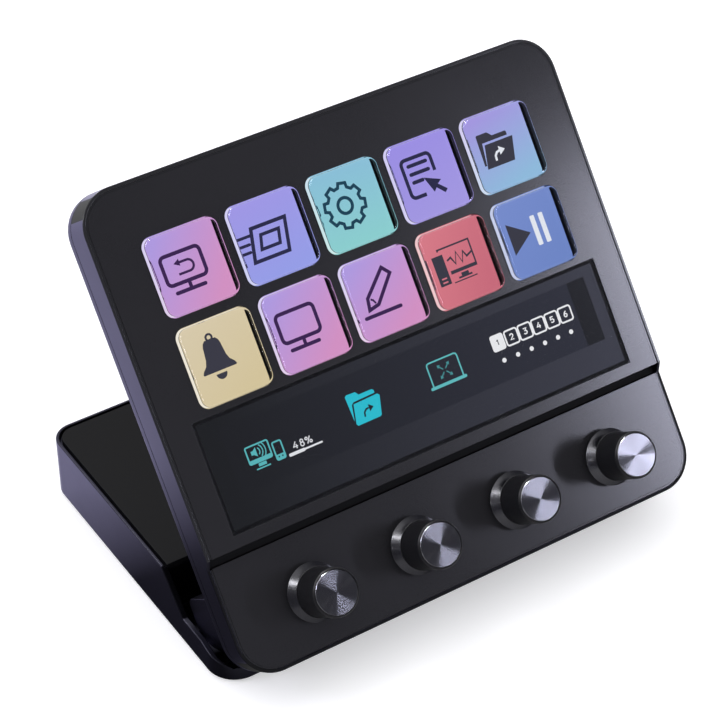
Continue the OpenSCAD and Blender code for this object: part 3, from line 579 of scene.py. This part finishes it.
def stroke(points, width, loop=False):
    """The outline of a line of even width through points, with mitred joints."""
    count, left, right = len(points), [], []
    for k, (x, y) in enumerate(points):
        before = points[k - 1] if k or loop else None
        after = points[(k + 1) % count] if k < count - 1 or loop else None
        sides = []
        for p, q in ((before, (x, y)), ((x, y), after)):
            if p is not None and q is not None:
                d = math.hypot(q[0] - p[0], q[1] - p[1])
                sides.append(((p[1] - q[1]) / d, (q[0] - p[0]) / d))
        nx, ny = sum(s[0] for s in sides) / len(sides), sum(s[1] for s in sides) / len(sides)
        scale = width / 2 / max(nx * nx + ny * ny, 0.25)
        left.append((x + nx * scale, y + ny * scale))
        right.append((x - nx * scale, y - ny * scale))
    if loop:
        return [left, right]
    return [left + right[::-1]]


def line(x0, y0, x1, y1, width):
    """A short bar with round ends."""
    a = math.degrees(math.atan2(y1 - y0, x1 - x0))
    return [bow(x1, y1, width / 2, a - 90, a + 90, 6) + bow(x0, y0, width / 2, a + 90, a + 270, 6)]


def border(x0, y0, x1, y1, r, width):
    """A round-cornered frame of even width."""
    half = width / 2
    return [rect(x0 - half, y0 - half, x1 + half, y1 + half, r + half),
            rect(x0 + half, y0 + half, x1 - half, y1 - half, max(r - half, 0.05))]


def disc(x, y, r, steps=24):
    """A round outline."""
    return bow(x, y, r, 0, 360, steps)[:-1]


def arrow(x, y, a, length, width, head):
    """A straight arrow from x, y in direction a, in degrees: shaft and head."""
    c, d = math.cos(math.radians(a)), math.sin(math.radians(a))
    neck, side = length - head, head * 0.7
    neck_x, neck_y = x + neck * c, y + neck * d
    return [stroke([(x, y), (neck_x, neck_y)], width),
            [[(x + length * c, y + length * d), (neck_x - side * d, neck_y + side * c),
              (neck_x + side * d, neck_y - side * c)]]]


# The marks' strokes, in mm about the middle of a cell 1.1 wide and 1.6 high
GLYPHS = {
    "1": [[(-0.35, 0.45), (0.08, 0.8), (0.08, -0.8)]],
    "2": [[(-0.5, 0.4), (-0.3, 0.72), (0.15, 0.8), (0.48, 0.5), (0.4, 0.1), (-0.5, -0.72),
           (0.55, -0.72)]],
    "3": [[(-0.5, 0.74), (0.48, 0.74), (-0.05, 0.14), (0.4, 0.0), (0.5, -0.4), (0.25, -0.74),
           (-0.25, -0.76), (-0.52, -0.5)]],
    "4": [[(0.25, 0.8), (-0.55, -0.3), (0.62, -0.3)], [(0.25, 0.2), (0.25, -0.82)]],
    "5": [[(0.48, 0.74), (-0.38, 0.74), (-0.45, 0.08), (0.2, 0.14), (0.5, -0.2), (0.38, -0.64),
           (0.0, -0.78), (-0.5, -0.6)]],
    "6": [[(0.35, 0.78), (-0.1, 0.5), (-0.45, -0.1)], bow(0, -0.32, 0.45, 0, 360, 12)],
    "8": [bow(0, 0.4, 0.36, 0, 360, 12), bow(0, -0.36, 0.45, 0, 360, 12)],
    "%": [bow(-0.5, 0.45, 0.3, 0, 360, 10), bow(0.5, -0.45, 0.3, 0, 360, 10),
          [(-0.5, -0.8), (0.5, 0.8)]]}


def mark(text, x, y, size, width, gap=1.5):
    """Numbers drawn as strokes, left to right from x."""
    groups = []
    for k, letter in enumerate(text):
        for points in GLYPHS[letter]:
            path = [(px * size + x + k * gap * size, py * size + y) for px, py in points]
            ring = math.dist(points[0], points[-1]) < 1e-6
            groups.append(stroke(path[:-1] if ring else path, width, ring))
    return groups


# Lit films on the screen, drawn in mm on the head's face: hazes first, and the signs on them.
# The hazes are the screen's own dim glow, brighter to the right as a painted sheen, and
# dimmer at the strip's right end as painted shade.
cyan = glow("cyan_light", srgb("2fc0d4"), srgb("33c4d6"))
teal = glow("teal_light", srgb("5cb8bd"), srgb("64bec2"))
dim_teal = glow("dim_teal_light", srgb("4a9499"), srgb("4a9499"))
pale = glow("white_light", srgb("e6e8ee"), srgb("f0f1f5"))
screen_glow_painted_sheen = glow("screen_glow_and_painted_sheen", (0.015, 0.016, 0.020, 1), (0.032, 0.034, 0.050, 1), size=50.0)
end_glow_painted_shade = glow("end_glow_and_painted_shade", (0.014, 0.014, 0.017, 1), (0.020, 0.021, 0.027, 1), size=55.0)
margin_glow_painted_sheen = glow("margin_glow_and_painted_sheen", (0.014, 0.015, 0.018, 1), (0.050, 0.052, 0.072, 1), size=55.0)
film_t, film_step, ink_gap, ink_inset = 0.02, 0.03, 0.02, 0.15
window = rect(-58.6, 37.1, 58.6, 62.8)
# The ink band glows with the margin's painted sheen
border_ink = flat_shape("strip_border_ink", [[strip_rect(ink_inset), window]], margin_glow_painted_sheen,
                        at(0, 0, -lens_t - ink_gap - film_t / 2), film_t)
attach(border_ink, "head")
# The glass's edges glow with the margin's painted sheen
paint(lens, margin_glow_painted_sheen, lambda x, y, n, across, up: abs(up) < 0.5)

monitor_sign = [
    border(-49.5, 49.6, -43.2, 53.9, 0.4, 0.4), [rect(-49.5, 49.55, -43.2, 50.5)],
    [rect(-47.4, 48.45, -45.2, 49.25)], [rect(-48.3, 47.8, -44.3, 48.15, 0.15)],
    [[(-48.3, 51.6), (-47.7, 51.6), (-46.8, 50.9), (-46.8, 53.3), (-47.7, 52.6), (-48.3, 52.6)]],
    stroke(bow(-47.0, 52.1, 1.1, -50, 50), 0.28), stroke(bow(-47.0, 52.1, 1.9, -50, 50), 0.28),
    stroke(bow(-47.0, 52.1, 2.7, -42, 42), 0.28), border(-42.3, 48.1, -39.9, 52.6, 0.4, 0.4),
    [rect(-42.2, 48.2, -40.0, 49.4), disc(-41.6, 48.8, 0.22, 10), disc(-40.6, 48.8, 0.22, 10)]]
level_sign = mark("48%", -36.6, 49.85, 1.08, 0.27, 1.78) + [
    [rect(-39.0, 47.65, -34.4, 48.45, 0.3)], [rect(-34.45, 47.85, -29.4, 48.3, 0.1)]]
folder_sign = [
    [[(-19.7, 55.9), (-19.2, 56.3), (-16.6, 56.2), (-15.9, 55.3), (-12.1, 55.3), (-11.6, 54.9),
      (-11.6, 54.2), (-17.9, 54.0), (-18.6, 53.5), (-19.4, 49.4)]],
    [[(-18.1, 53.5), (-11.0, 53.75), (-10.5, 53.2), (-11.8, 48.4), (-12.3, 48.15),
      (-18.8, 48.1), (-19.2, 48.6)],
     stroke([(-16.2, 49.5), (-16.0, 50.6), (-15.3, 51.2), (-14.5, 51.3)], 0.45)[0],
     [(-14.45, 52.2), (-13.1, 51.2), (-14.45, 50.3)]]]
laptop_sign = [
    stroke([(4.4, 49.5), (4.4, 54.9), (4.6, 55.4), (5.1, 55.6), (12.8, 55.6), (13.3, 55.4),
            (13.5, 54.9), (13.5, 49.5)], 0.4), [rect(3.5, 48.75, 14.4, 49.55, 0.3)]]
laptop_x, laptop_y, arrow_start = 8.95, 52.5, 0.5
laptop_arrows = [part for a in (45, 135, 225, 315)
                 for part in arrow(laptop_x + arrow_start * math.cos(math.radians(a)),
                                   laptop_y + arrow_start * math.sin(math.radians(a)),
                                   a, 2.1, 0.3, 0.8)]
cell, cell_low, cell_high, cell_y, bank_x = 4.26, 51.75, 55.6, 53.7, 25.95
bank_sign = [[rect(23.85, cell_low - 0.25, 27.85, cell_high + 0.25, 0.7)]
             + mark("1", 25.85, cell_y, 0.8, 0.3)[0]]
for k in range(1, 6):
    x = bank_x + cell * k
    bank_sign.append(border(x - 1.9, cell_low, x + 1.9, cell_high, 0.6, 0.45))
    bank_sign += mark("123456"[k], x, cell_y, 0.95, 0.32)
bank_sign += [[disc(x, 48.85, 0.62, 16)] for x in (25.9, 30.2, 34.5, 38.75, 42.9, 47.1)]

lit_left, lit_right, lit_end, lit_low, lit_high = -54, 50.5, 56.0, 43.6, 60.9
haze_n = -lens_t - bond + film_t / 2
sign_n = haze_n + film_step
for name, groups, material, n in (
        ("strip_haze", [[rect(lit_left, lit_low, lit_right, lit_high)]], screen_glow_painted_sheen, haze_n),
        ("strip_margin", [[window, rect(lit_left, lit_low, lit_end, lit_high)]], margin_glow_painted_sheen, haze_n),
        ("strip_end", [[rect(lit_right, lit_low, lit_end, lit_high)]], end_glow_painted_shade, haze_n),
        ("sign_screen", monitor_sign, teal, sign_n), ("sign_level", level_sign, pale, sign_n),
        ("sign_folder", folder_sign, cyan, sign_n), ("sign_laptop", laptop_sign, teal, sign_n),
        ("sign_arrows", laptop_arrows, dim_teal, sign_n), ("sign_bank", bank_sign, pale, sign_n)):
    sign = flat_shape(name, groups, material, at(0, 0, n), film_t)
    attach(sign, "head")

# ---------------------------------------------------------------- Key pictures
# Each clear key stands over its own lit picture, a film on the mat over the display. The view
# is from the left, so a picture reaches further to the right than to the left.
key_w, key_r, pitch_x, pitch_y, row_low = 20.0, 2.4, 23.1, 23.3, 76.4
picture_box, picture_r, picture_t, picture_n = (-9.9, -10.7, 10.1, 10.7), 2.0, 0.04, -3.93
icon_x, icon_y, icon_t, icon_rise, icon_step = -0.69, 0.17, 0.02, 0.03, 0.022


def ink(name, code):
    """One flat printed tone."""
    return glow(name, srgb(code), srgb(code))


violet_ink = ink("deep_violet_ink", "3a2350")
slate_ink = ink("slate_ink", "2b2b4a")
teal_ink = ink("teal_ink", "1d4256")
graphite_ink = ink("graphite_ink", "3b3b47")
white_ink = ink("white_ink", "e9edf6")

pen = 0.95
monitor = [border(-5.5, -3.0, 5.3, 4.3, 1.2, pen), [rect(-pen / 2, -4.75, pen / 2, -3.35)],
           line(-4.0, -5.1, 3.8, -5.1, pen)]
undo = [[[(-2.4, 1.85), (-0.8, 2.75), (-0.8, 0.95)]],
        stroke([(-0.85, 1.85)] + bow(1.2, 0.45, 1.4, 90, -90) + [(-1.9, -0.95)], 0.62)]
card = [stroke([(-3.2, 3.2), (6.5, 3.2), (4.75, -5.0), (-5.1, -5.0)], pen, True),
        stroke([(-1.2, 1.0), (3.9, 1.0), (3.05, -2.5), (-2.2, -2.5)], 0.85, True),
        line(-7.4, 1.7, -3.6, 1.7, 0.75), line(-7.2, -0.3, -4.9, -0.3, 0.75),
        line(-7.4, -2.2, -5.3, -2.2, 0.75)]
gear_x, gear_y, gear_turn, teeth = 0.1, 0.3, -11, []
for k in range(8):
    for a, r in ((-15, 4.7), (-10, 5.75), (10, 5.75), (15, 4.7)):
        b = math.radians(45 * k + a + gear_turn)
        teeth.append((gear_x + r * math.cos(b), gear_y + r * math.sin(b)))
gear = [stroke(teeth, 0.82, True), stroke(disc(gear_x, gear_y, 2.0), 0.85, True)]
document = [stroke([(4.2, 0.6)] + bow(3.0, 4.3, 1.2, 0, 90, 5)
                   + bow(-3.3, 4.3, 1.2, 90, 180, 5) + bow(-3.3, -3.2, 1.2, 180, 270, 5)
                   + [(-0.3, -4.4)], pen),
            line(-2.7, 3.7, 2.6, 3.7, pen), line(-2.7, 1.5, 2.6, 1.5, pen),
            line(-2.7, -0.6, 0.0, -0.6, pen),
            [[(0.4, -0.2), (5.0, -2.1), (3.7, -2.9), (5.9, -4.9), (5.0, -5.7), (3.0, -3.7),
              (2.1, -4.6)]]]
folder_back = [[[(-4.6, 4.6), (-4.3, 4.9), (-1.2, 4.9), (-0.7, 4.5), (0.1, 3.7), (4.1, 3.7),
                 (4.4, 3.4), (4.4, 2.5), (-3.4, 2.5), (-4.2, -3.3), (-4.8, -3.3)]]]
folder_front = [[[(-2.9, 1.9), (5.8, 1.9), (4.2, -4.3), (-4.3, -4.3)]]]
share = [stroke([(-0.95, -2.9), (-0.85, -1.6), (-0.2, -0.85), (0.7, -0.6)], 0.6),
         [[(0.65, 0.55), (2.4, -0.65), (0.65, -1.8)]]]
bell_x = -0.5
bell_half = [(0.0, 5.2), (1.5, 5.1), (2.1, 4.5), (2.4, 3.6), (2.8, 0.4), (3.3, -0.9), (4.3, -1.9),
             (4.7, -2.6), (4.5, -2.9)]
bell = [[[(bell_x + x, y) for x, y in bell_half]
         + [(bell_x - x, y) for x, y in bell_half[:0:-1]]],
        [bow(bell_x, -3.6, 1.5, 180, 360)], stroke(disc(bell_x, 5.6, 0.8, 20), 0.55, True)]
pencil = [stroke([(3.5, 5.9), (5.3, 3.9), (-0.6, -2.5), (-3.5, -3.1), (-3.0, -0.2)], pen, True),
          stroke([(-2.3, -0.6), (-1.7, -1.0), (-1.2, -2.0)], 0.5),
          line(-5.2, -4.8, 5.1, -4.8, pen)]
tower = [[rect(-5.5, -4.6, -2.2, 3.2), rect(-4.6, -3.0, -3.1, -2.6), rect(-4.6, -4.0, -3.1, -3.6)]]
wave = [stroke([(-3.2, 4.1), (-3.2, 4.6), (6.3, 4.6), (6.3, -1.9), (-1.5, -1.9)], 0.45),
        [rect(-1.5, -2.5, 6.5, -1.6)],
        stroke([(-1.4, 1.2), (-0.2, 1.7), (0.7, -0.3), (1.7, 2.7), (2.7, -0.5), (3.7, 2.2),
                (4.4, 0.6), (6.1, 1.3)], 0.5),
        [rect(1.2, -4.1, 3.4, -2.9)], [rect(0.2, -4.2, 4.3, -3.7)], [rect(-1.4, -4.9, 5.6, -4.6)]]
play = [[[(-5.2, 4.2), (1.2, 0.0), (-5.2, -4.2)]]]
pause = [[rect(2.3, -4.0, 3.7, 4.0, 0.3)], [rect(4.9, -4.0, 6.3, 4.0, 0.3)]]

lavender, pink = srgb("b49ee6"), srgb("d895c8")
pictures = [
    (lavender, pink, (0.8, -0.6), [(monitor + undo, violet_ink)]),
    (srgb("a49cec"), srgb("9aa2ee"), (0.2, -1.0), [(card, slate_ink)]),
    (srgb("8ec4de"), srgb("8fd4d4"), (0.0, -1.0), [(gear, teal_ink)]),
    (srgb("a093ea"), srgb("a79ce8"), (0.3, -1.0), [(document, slate_ink)]),
    (srgb("a89ce6"), srgb("93bfe2"), (0.3, -1.0), [(folder_back, graphite_ink),
     (folder_front, graphite_ink)]),
    (srgb("ddcfb0"), srgb("d9c9a0"), (0.5, -0.8), [(bell, graphite_ink)]),
    (lavender, pink, (0.7, -0.7), [(monitor, violet_ink)]),
    (lavender, pink, (0.6, -0.8), [(pencil, violet_ink)]),
    (srgb("dd7f8c"), srgb("cc6d7e"), (0.8, -0.4), [(tower + wave, graphite_ink)]),
    (srgb("7a90d2"), srgb("7089ca"), (0.5, -0.6), [(play, graphite_ink), (pause, white_ink)])]

# ---------------------------------------------------------------- Clear keys
# Key caps cast in clear acrylic and polished, each with a lip that the panel holds back. The
# sides glow in a paler tone of the picture, as painted light for the picture seen through
# them, and the right one is painted black up to just above the panel, as painted shade.
look = Look(bpy.data.materials.new("clear_acrylic"))
swirl = look.noise(180.0, 2.0)
acrylic = look.principled(Base_Color=gray(1.0), Roughness=0.0, IOR=1.49, Transmission_Weight=1.0,
                          Normal=look.bump(swirl, 0.00002, 0.05))
cap_top, cap_low, lip_n, lip_w, edge_r = 1.6, -2.8, -1.8, 0.8, 0.7
cap_profile = [(-lip_w, cap_low), (-lip_w, lip_n), (0.0, lip_n), (0.0, 0.4)]
cap_profile += [(inset, cap_top - edge_r + rise) for inset, rise in quarter(edge_r, 5)]
side_low, dark_top, share_rise = -1.9, 0.3, 0.075


def tint(color):
    """A paler tone of a colour."""
    paler = 0.45
    return tuple(v + (1 - v) * paler for v in color)


for number, (low, high, slope, icons) in enumerate(pictures):
    tag = "key_%02d" % (number + 1)
    x = (number % 5 - 2) * pitch_x
    y = row_low + (pitch_y if number < 5 else 0.0)
    back = flat_shape(tag + "_picture", [[rect(*picture_box, picture_r)]],
                      glow(tag + "_light", low, high, slope), at(x, y, picture_n), picture_t)
    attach(back, "head")
    for order, (loops, material) in enumerate(icons):
        icon_n = picture_n + icon_rise + icon_step * order
        icon = flat_shape("%s_sign_%d" % (tag, order + 1), loops, material,
                          at(x + icon_x, y + icon_y, icon_n), icon_t)
        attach(icon, "head")
    half = key_w / 2
    rings = [(rect(inset - half, inset - half, half - inset, half - inset, key_r - inset, 8), n)
             for inset, n in cap_profile]
    cap = stack(tag + "_cap", rings, acrylic, at(x, y, 0))
    # Painted light: the sides glow in a paler tone of the picture
    paint(cap, glow(tag + "_edge", tint(low), tint(high), slope),
          lambda x, y, n, across, up: abs(up) < 0.1 and n > side_low)
    # Painted shade: the right side is black from low on the wall to just above the panel
    paint(cap, moulding_and_painted_shade,
          lambda x, y, n, across, up: abs(up) < 0.1 and across > 0.3 and side_low < n < dark_top)
    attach(cap, "key_%02d_cap" % (number + 1))
    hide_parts(tag)
# A white arrow lies on the fifth key's folder
share_sign = flat_shape("key_05_sign_3", share, white_ink, at(2 * pitch_x + icon_x,
                        row_low + pitch_y + icon_y, picture_n + share_rise), icon_t)
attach(share_sign, "head")
refinish(["key_grid", "key_mat", "switch_board"], moulding_and_painted_shade)

# ---------------------------------------------------------------- Boards and ribbons
# Green circuit boards with a copper pattern under the mask, joined by amber flat ribbons. The
# connector's springs are brass, and the socket and the encoders have steel shells.
look = Look(bpy.data.materials.new("green_mask"))
tracks = look.add("ShaderNodeTexVoronoi", {"distance": "MANHATTAN"},
                  {"Vector": look.place(), "Scale": 420.0})
board = look.principled(
    Base_Color=look.blend(tracks, (0.008, 0.10, 0.045, 1), (0.02, 0.19, 0.09, 1)), Roughness=0.4)
ribbon = grained("amber_film", (0.42, 0.16, 0.03, 1), (0.55, 0.24, 0.05, 1), 900.0,
                 Roughness=0.35)
refinish(["main_board", "encoder_board"], board)
refinish(["key_connector"], brass)
refinish(["strip_ribbon", "encoder_ribbon"], ribbon)
refinish(["usb_socket", "encoder_bodies", "encoder_nuts"], steel)

# ---------------------------------------------------------------- Knobs
# Turned aluminium, black anodised: a flange collar with two polished facets, and a grip in
# it. A spun disc is pressed into the grip's face, and each knob sits on an encoder's shaft.
look = Look(bpy.data.materials.new("black_anodised"))
fine = look.noise(2400.0, 3.0)
anodised = look.principled(
    Base_Color=look.blend(fine, (0.006, 0.006, 0.008, 1), (0.012, 0.012, 0.015, 1)),
    Metallic=0.3, Roughness=fine * 0.1 + 0.36)


def turned_metal(name, low, high, rough):
    """Metal off a lathe: its grooves run round the axis, and its tone varies a little by
    angle."""
    look = Look(bpy.data.materials.new(name))
    place = look.place()
    x, y = look.axis(place, "X"), look.axis(place, "Y")
    streak = look.add("ShaderNodeTexNoise", {"noise_dimensions": "1D"},
                      {"W": y.math("ARCTAN2", y, x) * 14.0, "Detail": 4.0})
    return look.principled(Base_Color=look.blend(streak, low, high), Metallic=1.0, Roughness=rough,
                           Anisotropic=1.0)


polished = turned_metal("polished_facet", (0.42, 0.42, 0.46, 1), (0.90, 0.90, 0.96, 1), 0.14)
spun = turned_metal("spun_aluminium", (0.16, 0.16, 0.17, 1), (0.42, 0.42, 0.45, 1), 0.20)

knob_pitch, knob_y, face_n, knob_steps = 30.26, 14.75, 12.5, 96
facet_low, facet_high, disc_rim = (7.5, -0.05), (7.44, 0.08), (5.58, -0.12)
collar_profile = [(5.9, 0.2), (5.9, -1.4), (6.9, -1.4), (6.95, -1.35), (6.95, -0.4),
                  (7.3, -0.35), (7.46, -0.22), facet_low, facet_high, (6.42, 2.86),
                  (6.34, 2.94), (6.2, 2.98), (5.9, 2.98), (5.9, 0.2)]
grip_profile = [(0.0, 2.0), (3.9, 2.0), (3.9, 0.2), (5.88, 0.2), (5.88, 3.0), (6.15, 3.04),
                (6.15, 12.05), (6.1, 12.16), (5.84, 12.42), (5.74, 12.46), (5.64, 12.4),
                (5.6, 11.7), (0.0, 11.7)]
disc_profile = [(0.0, -0.8), (5.58, -0.8), disc_rim, (5.5, -0.02), (5.45, 0.0), (0.0, 0.0)]


def turned(name, profile, materials, facets, place):
    """A piece turned on a lathe from a profile of (radius, height). The bands that start at a
    point in facets get the second material."""
    bm = bmesh.new()
    rows = []
    for r, z in profile:
        turns = [math.tau * k / knob_steps for k in range(knob_steps if r else 1)]
        rows.append([bm.verts.new((r * MM * math.cos(a), r * MM * math.sin(a), z * MM))
                     for a in turns])
    for start, low, high in zip(profile, rows, rows[1:]):
        for k in range(knob_steps):
            m = (k + 1) % knob_steps
            ring = [low[k % len(low)], low[m % len(low)], high[m % len(high)], high[k % len(high)]]
            face = bm.faces.new(list(dict.fromkeys(ring)))
            face.material_index = int(start in facets)
    bmesh.ops.remove_doubles(bm, verts=bm.verts, dist=1e-7)
    bmesh.ops.recalc_face_normals(bm, faces=bm.faces)
    shade(bm, 20.0)
    mesh = bpy.data.meshes.new(name)
    bm.to_mesh(mesh)
    bm.free()
    for material in materials:
        mesh.materials.append(material)
    return link(name, mesh, None, place)


for number in range(4):
    tag = "knob_%d" % (number + 1)
    x = (number - 1.5) * knob_pitch
    collar = turned(tag + "_collar", collar_profile, [anodised, polished],
                    (facet_low, facet_high), at(x, knob_y, 0))
    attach(collar, tag + "_body")
    grip = turned(tag + "_grip", grip_profile, [anodised], (), at(x, knob_y, 0))
    # The grip's mesh is turned to the world's axes, so that its box fits it tightly
    grip.data.transform(grip.matrix_world.to_3x3().to_4x4())
    grip.matrix_world = Matrix.Translation(grip.matrix_world.translation)
    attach(grip, tag + "_body")
    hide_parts(tag)
    face = turned(tag + "_face", disc_profile, [spun, polished], (disc_rim,),
                  at(x, knob_y, face_n))
    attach(face, tag + "_body")
    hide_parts("knob_cap_%d" % (number + 1))
    refinish(["rotor_%d" % (number + 1), "shaft_%d" % (number + 1)], steel)
